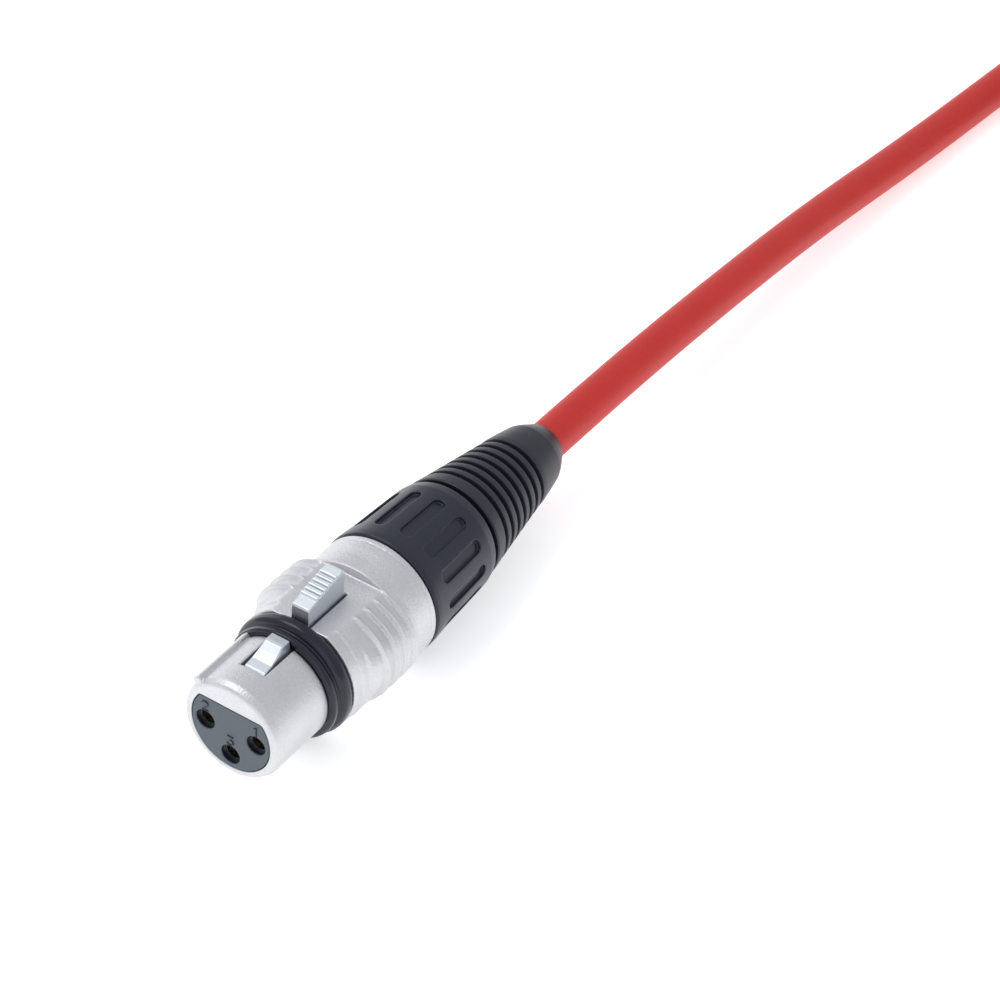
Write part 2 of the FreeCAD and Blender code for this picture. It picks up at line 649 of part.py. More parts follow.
def make_cable():
    for name, route in (("cable_run", RUN_ROUTE), ("cable_tail", TAIL_ROUTE)):
        keep(name, tube(name, route, "cable_radius"), "0", "0", "0")

    body = new_body("cable_hank")
    folds = new_sketch(body, "fold_circles", "XY_Plane")
    for middle in ("-hank_half_span", "hank_half_span"):
        circle(folds, (middle, "0"), "hank_radius")
    extrude(body, "folds", folds, "hank_height")
    waist = new_sketch(body, "waist_outline", "XY_Plane")
    quarter = [("waist_half_length", "waist_half_width"), ("hank_half_span - 10", "hank_radius - 1.8")]
    polygon(waist, [(x, y) for x, y in quarter] + [(x, "-(%s)" % y) for x, y in quarter[::-1]]
            + [("-(%s)" % x, "-(%s)" % y) for x, y in quarter] + [("-(%s)" % x, y) for x, y in quarter[::-1]])
    extrude(body, "waist", waist, "hank_height")
    top = new_sketch(body, "raised_top_outline", "XY_Plane", ("0", "0", "hank_height - 1"))
    rectangle(top, ("-waist_half_length", "-waist_half_width"), ("waist_half_length", "waist_half_width"))
    extrude(body, "raised_top", top, "1 + waist_lift")
    seat = new_sketch(body, "strap_seat_outline", "XY_Plane", ("0", "0", "-0.1"))
    rectangle(seat, ("-waist_half_length", "-40"), ("waist_half_length", "40"))
    extrude(body, "strap_seat", seat, "waist_lift + 0.1", cut=True)
    eyes = new_sketch(body, "eye_circles", "XY_Plane", ("0", "0", "-0.1"))
    for middle in ("-hank_half_span", "hank_half_span"):
        circle(eyes, (middle, "0"), "hank_eye_radius")
    extrude(body, "eyes", eyes, "hank_height + 0.2", cut=True)
    keep("cable_hank", body, "hank_x", "hank_y", "0")

    # A strap of hook-and-loop tape round the waist.
    body = new_body("hank_tie")
    section = new_sketch(body, "section", "YZ_Plane")
    rectangle(section, ("-waist_half_width - tie_thickness - 0.05", "0"),
              ("waist_half_width + tie_thickness + 0.05", "hank_height + waist_lift + tie_thickness"))
    rectangle(section, ("-waist_half_width - 0.05", "tie_thickness"),
              ("waist_half_width + 0.05", "hank_height + waist_lift"))
    extrude(body, "strap", section, "tie_width", both_ways=True)
    keep("hank_tie", body, "hank_x", "hank_y", "0")


make_female_shell()
make_male_shell()
make_nose_ring()
make_latch()
make_inserts()
make_contacts()
for which_end in ("female", "male"):
    make_chuck(which_end)
    make_nut(which_end)
    make_boot(which_end)
    make_cable_end(which_end)
make_cable()

# ---------------------------------------------------------------- checks and export
doc.recompute()
for item in doc.Objects:
    if "Invalid" in item.State or "Error" in item.State:
        raise RuntimeError("%s is %s" % (item.Label, item.State))

os.makedirs("parts", exist_ok=True)
for label, thing in PARTS.items():
    if thing.Shape.isNull() or not thing.Shape.isValid():
        raise RuntimeError(label + " has no valid shape")
    thing.Shape.exportStep("parts/%s.step" % label)
    box = thing.Shape.BoundBox
    print("%-20s %9.1f mm3  x %.1f..%.1f  y %.1f..%.1f  z %.1f..%.1f" % (
        label, thing.Shape.Volume, box.XMin, box.XMax, box.YMin, box.YMax, box.ZMin, box.ZMax))
print(len(PARTS), "sub-parts")
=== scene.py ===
"""A microphone lead: the female connector and its cable, with the put-away length folded into a tied hank."""
import json
import math
from itertools import product

import bpy
import numpy as np
from mathutils import Matrix, Vector


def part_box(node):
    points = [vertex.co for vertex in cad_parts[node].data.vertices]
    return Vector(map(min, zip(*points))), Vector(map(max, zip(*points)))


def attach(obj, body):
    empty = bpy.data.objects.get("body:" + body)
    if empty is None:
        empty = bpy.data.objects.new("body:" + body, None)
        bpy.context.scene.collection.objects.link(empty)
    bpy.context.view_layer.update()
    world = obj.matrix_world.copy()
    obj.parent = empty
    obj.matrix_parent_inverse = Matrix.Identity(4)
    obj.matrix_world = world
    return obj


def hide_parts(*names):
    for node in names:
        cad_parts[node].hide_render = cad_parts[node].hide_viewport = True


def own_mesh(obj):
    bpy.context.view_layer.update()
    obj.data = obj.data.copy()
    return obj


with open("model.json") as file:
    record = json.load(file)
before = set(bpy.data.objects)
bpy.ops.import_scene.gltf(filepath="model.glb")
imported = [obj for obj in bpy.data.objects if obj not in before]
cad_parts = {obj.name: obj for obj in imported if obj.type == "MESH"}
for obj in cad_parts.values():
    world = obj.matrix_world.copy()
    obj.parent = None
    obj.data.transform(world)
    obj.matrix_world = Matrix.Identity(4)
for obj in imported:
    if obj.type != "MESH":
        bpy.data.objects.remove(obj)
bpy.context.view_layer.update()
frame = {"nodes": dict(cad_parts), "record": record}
MM = 0.001


# ---------------------------------------------------------------- where things are
def zero_station(shell, boot):
    """The point on a connector's axis at the front face of its shell, in millimetres."""
    low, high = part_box(boot)
    return np.array([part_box(shell)[0].x, (low.y + high.y) / 2, (low.z + high.z) / 2]) / MM


FEMALE = zero_station("female_shell", "female_boot")
MALE = zero_station("male_shell", "male_boot")

# Sizes in millimetres; a station is a distance along the connector's axis from its front face.
BARREL_FRONT, BARREL_END = 15.2, 34.2
STEP_RADIUS, BARREL_RADIUS, BAND_RADIUS = 9.55, 9.75, 9.85
BAND_START = 30.1
NOSE_RADIUS, NOSE_RIM = 7.95, 1.1
SEAT_START, SEAT_RADIUS = 11.3, 7.4
WINDOW_RADIUS, WINDOW_FLAT = 6.55, 4.05
SOLDER_START, SOLDER_RADIUS = 16.4, 6.6
CLAMP_BORE_START, CLAMP_BORE = 27.0, 8.0
NUT_BORE_START, NUT_BORE = 28.8, 8.3
LAND_HEIGHT, LAND_END = 8.35, 27.4
KEY_ANGLE, RIB_WIDTH, RIB_RADIUS, RIB_END = math.radians(47), 1.5, 8.65, 11.9
CHANNEL_FLOOR, CHANNEL_START, CHANNEL_END = 4.55, 4.7, 26.4
NOSE_CHANNEL, BUTTON_CHANNEL = 2.05, 1.66
PIVOT_STATION, PIVOT_HEIGHT, PIVOT_RADIUS, PIVOT_HALF = 24.8, 7.4, 0.75, 2.55
ROOF_START, ROOF_HEIGHT = 24.1, 8.0
SHROUD_BORE, SHROUD_END = 8.25, 20.2
KEYWAY_HALF, KEYWAY_RADIUS, KEYWAY_END = 1.0, 9.0, 12
RECESS_HALF, RECESS_HEIGHTS, RECESS_STATIONS = 2.3, (7, 9.15), (1, 7)
BEHIND_SHELL = 40
CONTACTS = {1: (-4.2, -0.2), 2: (4.2, -0.2), 3: (0.0, -4.3)}
HOLE_RADIUS, HOLE_BEVEL = 1.5, 0.12
INSERT_FRONT, INSERT_GAP = 0.08, 0.12
CABLE_RADIUS = 3.25


# ---------------------------------------------------------------- camera
def make_camera():
    """Above and in front of the connector's face, seeing it along its length."""
    view = bpy.data.cameras.new("camera")
    view.sensor_width = 36
    view.lens = 108
    view.clip_start = 0.01
    right = (0.55155, -0.83190, 0.06109)
    up = (0.50983, 0.39417, 0.76466)
    ahead = (0.66020, 0.39060, -0.64153)
    camera = bpy.data.objects.new("camera", view)
    turn = Matrix([right, up, [-a for a in ahead]]).transposed().to_4x4()
    camera.matrix_world = Matrix.Translation((-0.26609, -0.17352, 0.29161)) @ turn
    bpy.context.scene.collection.objects.link(camera)
    bpy.context.scene.camera = camera


# ---------------------------------------------------------------- materials
GLOSS_SPREAD = 0.06


def material(name, colour, metallic=0.0, roughness=0.5, variation=0.05, tint=None,
             grain=0.25, depth=0.01, cloud=6.0, sheen=0.0):
    """A surface with fine grain and slow changes of colour and gloss. Grain, depth and cloud are in mm."""
    made = bpy.data.materials.new(name)
    made.use_nodes = True
    nodes, links = made.node_tree.nodes, made.node_tree.links
    shader = nodes["Principled BSDF"]
    shader.inputs["Metallic"].default_value = metallic
    shader.inputs["Sheen Weight"].default_value = sheen
    place = nodes.new("ShaderNodeTexCoord")

    def noise(size, detail):
        node = nodes.new("ShaderNodeTexNoise")
        node.inputs["Scale"].default_value = 1 / (size * MM)
        node.inputs["Detail"].default_value = detail
        links.new(place.outputs["Object"], node.inputs["Vector"])
        return node.outputs["Fac"]

    fine, slow = noise(grain, 3.0), noise(cloud, 2.0)

    def mixed(factor, first, second):
        node = nodes.new("ShaderNodeMix")
        node.data_type = "RGBA"
        links.new(factor, node.inputs["Factor"])
        for socket, value in ((6, first), (7, second)):
            if isinstance(value, bpy.types.NodeSocket):
                links.new(value, node.inputs[socket])
            else:
                node.inputs[socket].default_value = (*value, 1)
        return node.outputs[2]

    darker = [c * (1 - variation) for c in colour]
    lighter = [min(1, c * (1 + variation)) for c in colour]
    clouds = mixed(slow, darker, tint or lighter)
    speckle = mixed(fine, darker, lighter)
    links.new(mixed(slow, clouds, speckle), shader.inputs["Base Color"])

    spread = nodes.new("ShaderNodeMapRange")
    spread.inputs["To Min"].default_value = roughness - GLOSS_SPREAD
    spread.inputs["To Max"].default_value = roughness + GLOSS_SPREAD
    links.new(slow, spread.inputs["Value"])
    links.new(spread.outputs["Result"], shader.inputs["Roughness"])

    bump = nodes.new("ShaderNodeBump")
    bump.inputs["Strength"].default_value = 1.0
    bump.inputs["Distance"].default_value = depth * MM
    links.new(fine, bump.inputs["Height"])
    links.new(bump.outputs["Normal"], shader.inputs["Normal"])
    return made


MATERIALS = {
    "nickel_shell": material("nickel_shell",
                             (0.71, 0.715, 0.73), 0.88, 0.42, 0.22, (0.74, 0.71, 0.73), 0.30, 0.08),
    "nickel_latch": material("nickel_latch", (0.62, 0.66, 0.70), 0.9, 0.34, 0.05, None, 0.22, 0.008),
    "spring_steel": material("spring_steel", (0.5, 0.5, 0.52), 1.0, 0.25, 0.04, None, 0.2, 0.003),
    "silver_contact": material("silver_contact", (0.80, 0.78, 0.72), 1.0, 0.2, 0.05, None, 0.2, 0.003),
    "grey_plastic": material("grey_plastic", (0.082, 0.102, 0.120), 0.0, 0.48, 0.08, None, 0.18, 0.006),
    "black_plastic": material("black_plastic", (0.009, 0.012, 0.026), 0.0, 0.34, 0.25, None, 0.22, 0.006),
    "clamp_plastic": material("clamp_plastic", (0.72, 0.71, 0.66), 0.0, 0.4, 0.04, None, 0.3, 0.004),
    "black_rubber": material("black_rubber", (0.011, 0.014, 0.024), 0.0, 0.40, 0.25, None, 0.35, 0.008),
    "ring_rubber": material("ring_rubber", (0.005, 0.007, 0.018), 0.0, 0.22, 0.2, None, 0.4, 0.003),
    "red_jacket": material("red_jacket",
                           (0.61, 0.017, 0.010), 0.0, 0.5, 0.16, (0.67, 0.026, 0.014), 0.30, 0.02),
    "white_core": material("white_core", (0.8, 0.8, 0.77), 0.0, 0.3, 0.03),
    "blue_core": material("blue_core", (0.05, 0.10, 0.42), 0.0, 0.3, 0.05),
    "shield_braid": material("shield_braid", (0.66, 0.60, 0.52), 1.0, 0.35, 0.2, None, 0.15, 0.03),
    "hook_and_loop": material("hook_and_loop",
                              (0.018, 0.018, 0.021), 0.0, 0.9, 0.35, None, 0.28, 0.12, 3.0, 0.3),
}


# ---------------------------------------------------------------- distance functions, in millimetres
def soft_min(a, b, blend):
    """The nearer of two distances, with a rounded change from one to the other."""
    near = np.maximum(blend - np.abs(a - b), 0)
    return np.minimum(a, b) - near * near / (4 * blend)


def join(blend, first, *others):
    """All the solids together, rounded where they meet."""
    for other in others:
        first = soft_min(first, other, blend)
    return first


def common(blend, first, *others):
    """What the solids share, with its edges rounded."""
    for other in others:
        first = -soft_min(-first, -other, blend)
    return first


def cut(blend, first, *others):
    """The first solid without the others, with the cut edges rounded."""
    for other in others:
        first = -soft_min(-first, other, blend)
    return first


def between(value, low, high):
    """Negative from low to high."""
    return np.maximum(low - value, value - high)


def rod(x, r, start, end, radius, edge):
    """A solid of revolution with square ends and rounded rims."""
    u = between(x, start, end) + edge
    v = r - radius + edge
    return np.hypot(np.maximum(u, 0), np.maximum(v, 0)) + np.minimum(np.maximum(u, v), 0) - edge


def turned(x, r, corners):
    """Inside a radius that follows straight lines between (station, radius) corners."""
    stations, radii = zip(*corners)
    return r - np.interp(x, stations, radii)


def polygon_distance(px, py, corners):
    """Signed distance to a closed outline, negative inside."""
    corners = np.array(corners, float)
    nearest, inside = np.inf, False
    for a, b in zip(corners, np.roll(corners, -1, axis=0)):
        edge = b - a
        along = ((px - a[0]) * edge[0] + (py - a[1]) * edge[1]) / (edge @ edge)
        along = np.clip(along, 0, 1)
        nearest = np.minimum(nearest, np.hypot(px - a[0] - along * edge[0], py - a[1] - along * edge[1]))
        crosses = (a[1] > py) != (b[1] > py)
        rise = edge[1] if edge[1] else 1.0
        inside = inside ^ (crosses & (px < a[0] + (py - a[1]) * edge[0] / rise))
    return np.where(inside, -nearest, nearest)


# ---------------------------------------------------------------- meshes
def gradient(distance, points, step=0.015):
    """How fast a distance changes along each axis, at each point."""
    slopes = []
    for axis in range(3):
        shift = np.zeros(3)
        shift[axis] = step
        slopes.append((distance(*(points + shift).T) - distance(*(points - shift).T)) / (2 * step))
    return np.stack(slopes, axis=1)


def settle(distance, points, reach, rounds):
    """Moves points onto the surface where the distance is zero."""
    for _ in range(rounds):
        slope = gradient(distance, points)
        step = (distance(*points.T) / np.maximum((slope ** 2).sum(axis=1), 0.2))[:, None] * slope
        points = points - np.clip(step, -reach, reach)
    return points


def skin(name, distance, low, high, cell):
    """A dense mesh on the surface of a solid that a distance function describes."""
    axes = [np.arange(a - 1.7 * cell, b + 2.7 * cell, cell) for a, b in zip(low, high)]
    inside = distance(*np.meshgrid(*axes, indexing="ij", sparse=True)) < 0
    cells = np.array(inside.shape) - 1
    count = np.zeros(cells, np.int8)
    for i, j, k in product((0, 1), repeat=3):
        count += inside[i:i + cells[0], j:j + cells[1], k:k + cells[2]]
    mixed = (count > 0) & (count < 8)
    number = np.full(cells, -1)
    number[mixed] = np.arange(mixed.sum())
    points = np.stack([axes[i][w] + cell / 2 for i, w in enumerate(np.nonzero(mixed))], axis=1)

    quads = []
    for axis in range(3):
        a, b = np.eye(3, dtype=int)[(axis + 1) % 3], np.eye(3, dtype=int)[(axis + 2) % 3]
        first = np.moveaxis(inside, axis, 0)[:-1]
        second = np.moveaxis(inside, axis, 0)[1:]
        crossing = np.moveaxis(first != second, 0, axis)
        starts_inside = np.moveaxis(first, 0, axis)[crossing]
        at = np.argwhere(crossing)
        quad = np.stack([number[tuple((at - shift).T)] for shift in (a * 0, a, a + b, b)], axis=1)
        quads.append(np.where(starts_inside[:, None], quad, quad[:, ::-1]))
    quads = np.concatenate(quads)

    points = settle(distance, points, cell, 3)
    pairs = np.concatenate([quads[:, [i, (i + 1) % 4]] for i in range(4)])
    for _ in range(2):
        total = np.stack([np.bincount(pairs[:, 0], points[pairs[:, 1], i], len(points)) for i in range(3)],
                         axis=1)
        weight = np.maximum(np.bincount(pairs[:, 0], minlength=len(points)), 1)[:, None]
        points = settle(distance, 0.4 * points + 0.6 * total / weight, cell, 1)
    points = settle(distance, points, cell, 2)
    return mesh_object(name, points, quads.tolist())


def mesh_object(name, points, faces):
    """A smooth-shaded object; its points are in millimetres in the row's frame."""
    mesh = bpy.data.meshes.new(name)
    mesh.from_pydata((np.asarray(points) * MM).tolist(), [], faces)
    mesh.polygons.foreach_set("use_smooth", [True] * len(faces))
    made = bpy.data.objects.new(name, mesh)
    bpy.context.scene.collection.objects.link(made)
    return made


def filleted(corners, edge, steps=4):
    """A closed outline with a small curve at each corner."""
    corners = [np.array(c, float) for c in corners]
    made = []
    for before, corner, after in zip(corners[-1:] + corners, corners, corners[1:] + corners[:1]):
        back, ahead = before - corner, after - corner
        trim = min(edge, 0.42 * np.linalg.norm(back), 0.42 * np.linalg.norm(ahead))
        start = corner + back / np.linalg.norm(back) * trim
        end = corner + ahead / np.linalg.norm(ahead) * trim
        for i in range(steps + 1):
            s = i / steps
            made.append((1 - s) ** 2 * start + 2 * s * (1 - s) * corner + s * s * end)
    return made


def lathe(name, corners, zero, edge=0.12, sides=144):
    """Turns a closed (station, radius) outline round the connector's axis."""
    outline = filleted(corners, edge)
    points = [(x, r * math.sin(a), r * math.cos(a))
              for x, r in outline for a in np.arange(sides) * math.tau / sides]
    faces = []
    for i in range(len(outline)):
        j = (i + 1) % len(outline)
        for k in range(sides):
            n = (k + 1) % sides
            faces.append((i * sides + k, j * sides + k, j * sides + n, i * sides + n))
    return mesh_object(name, np.array(points) + zero, faces)


# ---------------------------------------------------------------- shells
PAD_ANGLE, PAD_OFFSET = math.radians(76), 4.2
PAD_OUTLINE = [(18.0, 5.2), (18.7, 6.2), (19.8, 6.62), (20.8, 6.8), (24.0, 6.86), (27.0, 6.82),
               (28.1, 6.68), (29.1, 6.3), (29.9, 5.2)]
RIDGES = (20.9, 23.2, 25.4, 27.4)
RIDGE_HEIGHT, RIDGE_HALF = 0.6, 0.54
RIDGE_REACH, RIDGE_FADE, BARREL_SHARE = math.radians(52), 0.22, 0.8


BARREL_OUTLINE = [
    (BARREL_FRONT, STEP_RADIUS), (16.9, STEP_RADIUS), (17.15, BARREL_RADIUS), (BAND_START, BARREL_RADIUS),
    (BAND_START + 1.6, BAND_RADIUS), (BARREL_END - 1.25, BAND_RADIUS),
    (BARREL_END - 1.15, BAND_RADIUS - 0.08), (BARREL_END - 1.0, BAND_RADIUS - 0.08),
    (BARREL_END - 0.9, BAND_RADIUS), (BARREL_END, BAND_RADIUS)]
NOSE_OUTLINE = [(0, NOSE_RADIUS - 0.75), (0.3, NOSE_RADIUS - 0.35), (NOSE_RIM, NOSE_RADIUS),
                (NOSE_RIM + 9, NOSE_RADIUS)]
CREASE_OFFSET, CREASE_HALF, CREASE_DEPTH, CREASE_START = 0.06, 0.09, 0.3, 1.2


def ridges(x):
    """How far the grip ridges stand up at a station."""
    height = 0
    for station in RIDGES:
        near = np.clip(1 - np.abs(x - station) / RIDGE_HALF, 0, 1)
        height = height + near * near * (3 - 2 * near) * RIDGE_HEIGHT
    return height


def grip_pads(x, y, z):
    """A lens-shaped pad on each side of the barrel, with four raised ridges round it."""
    y, z = np.abs(y), z + 0 * y
    r = np.hypot(y - PAD_OFFSET * math.sin(PAD_ANGLE), z - PAD_OFFSET * math.cos(PAD_ANGLE))
    ends = between(x, PAD_OUTLINE[0][0], PAD_OUTLINE[-1][0])
    return common(0.1, turned(x, r, PAD_OUTLINE) - ridges(x), ends)


def barrel(x, y, z):
    """The outside shared by both shells, without the front part or the bores."""
    r = np.hypot(y, z)
    from_pad = np.abs(np.arctan2(np.abs(y), z) - PAD_ANGLE)
    reach = np.clip((RIDGE_REACH - from_pad) / RIDGE_FADE, 0, 1)
    body = common(0.3, turned(x, r, BARREL_OUTLINE) - BARREL_SHARE * reach * ridges(x),
                  between(x, BARREL_FRONT, BARREL_END))
    return join(0.25, body, grip_pads(x, y, z))


def rear_bores(x, r, start):
    """The stepped bore behind the insert: for the solder cups, the chuck and the nut's neck."""
    solder = common(0.1, r - SOLDER_RADIUS, between(x, start, BEHIND_SHELL))
    clamp = common(0.1, r - CLAMP_BORE, between(x, CLAMP_BORE_START, BEHIND_SHELL))
    neck = common(0.1, r - NUT_BORE, between(x, NUT_BORE_START, BEHIND_SHELL))
    return np.minimum(np.minimum(solder, clamp), neck)


def female_shell(x, y, z):
    """Nose with its key rib, ring seat, and barrel with the flat land and channel of the latch."""
    r = np.hypot(y, z)
    nose = common(0.25, turned(x, r, NOSE_OUTLINE), between(x, 0, SEAT_START))
    seat = rod(x, r, SEAT_START - 2, BARREL_FRONT + 2, SEAT_RADIUS, 0.1)
    across = y * math.cos(KEY_ANGLE) - z * math.sin(KEY_ANGLE)
    outwards = y * math.sin(KEY_ANGLE) + z * math.cos(KEY_ANGLE)
    rib = common(0.3, np.abs(across) - RIB_WIDTH / 2, between(outwards, NOSE_RADIUS - 1.5, RIB_RADIUS),
                 between(x, 0.5, RIB_END))
    crease = common(0.05, np.abs(across + RIB_WIDTH / 2 + CREASE_OFFSET) - CREASE_HALF,
                    between(outwards, NOSE_RADIUS - CREASE_DEPTH, 20), between(x, CREASE_START, SEAT_START))
    front = join(0.08, cut(0.05, nose, crease), rib)
    land = common(0.2, LAND_HEIGHT - z, between(x, BARREL_FRONT - 3, LAND_END))
    body = np.minimum(np.minimum(front, seat), cut(0.22, barrel(x, y, z), land))

    window = common(0.35, r - WINDOW_RADIUS, z - WINDOW_FLAT)
    window = common(0.1, window, between(x, -5, SOLDER_START + 0.1))
    wide = common(0.1, np.abs(y) - NOSE_CHANNEL, between(x, CHANNEL_START, BARREL_FRONT))
    narrow = common(0.1, np.abs(y) - BUTTON_CHANNEL, between(x, BARREL_FRONT - 0.5, CHANNEL_END))
    channel = common(0.1, CHANNEL_FLOOR - z, np.minimum(wide, narrow))
    roof = common(0.05, ROOF_START - x, ROOF_HEIGHT - z)
    channel = cut(0.05, channel, roof)
    pivot = common(0.05, np.hypot(x - PIVOT_STATION, z - PIVOT_HEIGHT) - PIVOT_RADIUS, np.abs(y) - PIVOT_HALF)
    return cut(0.07, cut(0.18, body, window, rear_bores(x, r, SOLDER_START)), channel, pivot)


def male_shell(x, y, z):
    """Open shroud with a keyway and a recess for the mating latch, on the same barrel."""
    r = np.hypot(y, z)
    shroud = rod(x, r, 0, BARREL_FRONT + 2, STEP_RADIUS, 0.3)
    bore = rod(x, r, -5, SHROUD_END, SHROUD_BORE, 0.2)
    across = y * math.cos(KEY_ANGLE) + z * math.sin(KEY_ANGLE)
    outwards = -y * math.sin(KEY_ANGLE) + z * math.cos(KEY_ANGLE)
    keyway = common(0.1, np.abs(across) - KEYWAY_HALF, between(outwards, SHROUD_BORE - 1, KEYWAY_RADIUS),
                    between(x, -5, KEYWAY_END))
    recess = common(0.1, np.abs(y) - RECESS_HALF, between(z, *RECESS_HEIGHTS), between(x, *RECESS_STATIONS))
    body = np.minimum(shroud, barrel(x, y, z))
    return cut(0.15, body, np.minimum(np.minimum(bore, keyway), recess), rear_bores(x, r, SHROUD_END - 0.5))


# ---------------------------------------------------------------- latch
LEVER_HALF_WIDTH, TRUNNION_HALF = 1.43, 2.35
HOOK_TOP, HOOK_END, HOOK_DRAFT = 8.9, 11.2, 0.16
BUTTON_FRONT, BUTTON_FRONT_HEIGHT, BUTTON_REAR, BUTTON_REAR_HEIGHT = 15.3, 11.3, 23.3, 13.0
BUTTON_RIBS, RIB_PITCH, FIRST_RIB = 6, 0.84, 17.15
RIB_STEPS = ((0, 0), (0.14, 0.3), (0.34, 0.34), (0.48, 0.02))


def lever_outline():
    """The lever from the side: hook, bridge under the ring, ribbed button, and pivot."""
    slope = (BUTTON_REAR_HEIGHT - BUTTON_FRONT_HEIGHT) / (BUTTON_REAR - BUTTON_FRONT)
    corners = [(5.15, 6.4), (5.15, 7.1), (5.5, 7.35), (6.9, 7.6), (8.3, 8.2), (9.4, 8.95), (9.9, 9.03),
               (11.0, 9.03), (11.1, 8.9), (11.1, 6.9), (BUTTON_FRONT, 6.9),
               (BUTTON_FRONT, BUTTON_FRONT_HEIGHT - 0.2), (BUTTON_FRONT + 0.2, BUTTON_FRONT_HEIGHT)]
    for i in range(BUTTON_RIBS):
        start = FIRST_RIB + RIB_PITCH * i
        for along, raised in RIB_STEPS:
            station = start + along
            corners.append((station, BUTTON_FRONT_HEIGHT + (station - BUTTON_FRONT) * slope + raised))
    return corners + [
        (BUTTON_REAR - 0.2, BUTTON_REAR_HEIGHT), (BUTTON_REAR + 0.1, BUTTON_REAR_HEIGHT - 0.15),
        (23.5, 12.4), (23.42, 11.4), (23.42, 10.4), (23.5, 9.4), (23.72, 8.6), (23.9, 7.95), (25.3, 7.9),
        (25.8, PIVOT_HEIGHT), (25.6, 6.5), (PIVOT_STATION, 6.15), (16.5, 5.6)]


LEVER_OUTLINE = lever_outline()


def latch_lever(x, y, z):
    """The lever's outline given its width, wider towards the foot of the hook, and its trunnions."""
    side = polygon_distance(x, z, LEVER_OUTLINE)
    flank = LEVER_HALF_WIDTH + np.where(x < HOOK_END, np.clip(HOOK_DRAFT * (HOOK_TOP - z), 0, 0.3), 0)
    bar = common(0.16, side - 0.03 + 0 * y, np.abs(y) - flank)
    trunnion = common(0.05, np.hypot(x - PIVOT_STATION, z - PIVOT_HEIGHT) - PIVOT_RADIUS + 0.05,
                      np.abs(y) - TRUNNION_HALF)
    return join(0.05, bar, trunnion)


# ---------------------------------------------------------------- nut, boot and ring
NUT_START, NUT_END = 29.6, 51.5
NUT_OUTLINE = [(29.0, 8.22), (34.35, 8.22), (34.45, 9.7), (34.75, 9.95), (35.6, 9.95), (38.8, 9.66),
               (44, 9.42), (49.2, 9.15), (50.6, 8.85), (51.3, 8.3), (51.6, 7.8)]
GRIP_SLOTS, SLOT_FRONT, SLOT_REAR, SLOT_WIDTH = 14, 37.6, 47.4, 1.9
SLOT_PHASE, SLOT_DEPTH = math.radians(7.7), 0.55
CHUCK_BORE, CHUCK_BORE_END = 6.9, 41.5
COLLAR_BORE, BOOT_BORE, BOOT_BORE_START = 5.7, 7.1, 43.5


def clamp_nut(x, y, z):
    """The neck that goes into the shell and the tapered grip, with round-ended slots all round."""
    r = np.hypot(y, z)
    body = common(0.2, turned(x, r, NUT_OUTLINE), between(x, NUT_START, NUT_END))
    pitch = math.tau / GRIP_SLOTS
    angle = np.mod(np.arctan2(-y, z) - SLOT_PHASE + pitch / 2, pitch) - pitch / 2
    side, height = r * np.sin(angle), r * np.cos(angle)
    half = SLOT_WIDTH / 2
    beyond = np.maximum(between(x, SLOT_FRONT + half, SLOT_REAR - half), 0)
    floor = np.interp(x, (SLOT_FRONT, SLOT_REAR), (9.74 - SLOT_DEPTH, 9.25 - SLOT_DEPTH))
    slot = common(0.1, np.hypot(side, beyond) - half, floor - height)
    bore = np.minimum(common(0.1, r - CHUCK_BORE, x - CHUCK_BORE_END), r - COLLAR_BORE)
    bore = np.minimum(bore, common(0.1, r - BOOT_BORE, BOOT_BORE_START - x))
    return cut(0.12, body, slot, bore)


BOOT_GROOVES, GROOVE_START, GROOVE_PITCH = 7, 54.1, 2.05


def boot_outline():
    """The boot from its flange inside the nut, over the grooves, to its smooth collar."""
    corners = [(44, 3.35), (44, 7.02), (51.8, 7.02), (51.8, 8.5), (52.1, 8.6), (53.9, 8.32)]
    for i in range(BOOT_GROOVES):
        start = GROOVE_START + GROOVE_PITCH * i
        outer = 8.28 - 0.15 * (start - GROOVE_START)
        corners += [(start, outer), (start + 0.15, outer - 0.95), (start + 0.75, outer - 1.0),
                    (start + 0.95, outer - 0.14)]
    return corners + [(68.3, 6.22), (70.8, 5.79), (73.2, 5.32), (74.4, 4.8), (75.6, 4.15), (76.5, 3.7),
                      (76.5, 3.35)]


RING_OUTLINE = [(11.32, 7.42), (11.32, 8.6), (11.6, 8.9), (12.25, 8.9), (12.5, 8.55), (12.85, 8.55),
                (13.1, 9.1), (13.5, 9.45), (14.3, 9.55), (14.85, 9.35), (15.0, 9.0), (15.0, 7.42)]


# ---------------------------------------------------------------- insert and numerals
def socket_insert(x, y, z):
    """A flat-topped block with a bevelled hole for each contact."""
    r = np.hypot(y, z)
    block = common(0.12, r - WINDOW_RADIUS + INSERT_GAP, z - WINDOW_FLAT + INSERT_GAP,
                   between(x, INSERT_FRONT, SOLDER_START))
    holes = np.inf
    for side, height in CONTACTS.values():
        off = np.hypot(y - side, z - height) - HOLE_RADIUS
        bevel = off - HOLE_BEVEL + np.maximum(x - INSERT_FRONT, 0)
        holes = np.minimum(holes, np.minimum(off, bevel))
    return cut(0.08, block, holes)


NUMERAL_FRONT, NUMERAL_LIFT, STROKE_RADIUS = 0.06, 2.55, 0.13
NUMERALS = {
    1: [[(-0.28, 0.42), (0.05, 0.8), (0.05, -0.8)]],
    2: [[(-0.5, 0.4), (-0.3, 0.72), (0.1, 0.8), (0.45, 0.5), (0.35, 0.05), (-0.5, -0.78), (0.52, -0.78)]],
    3: [[(-0.5, 0.78), (0.48, 0.78), (-0.02, 0.18), (0.4, 0.05), (0.5, -0.4), (0.15, -0.78), (-0.3, -0.72),
         (-0.52, -0.45)]],
}


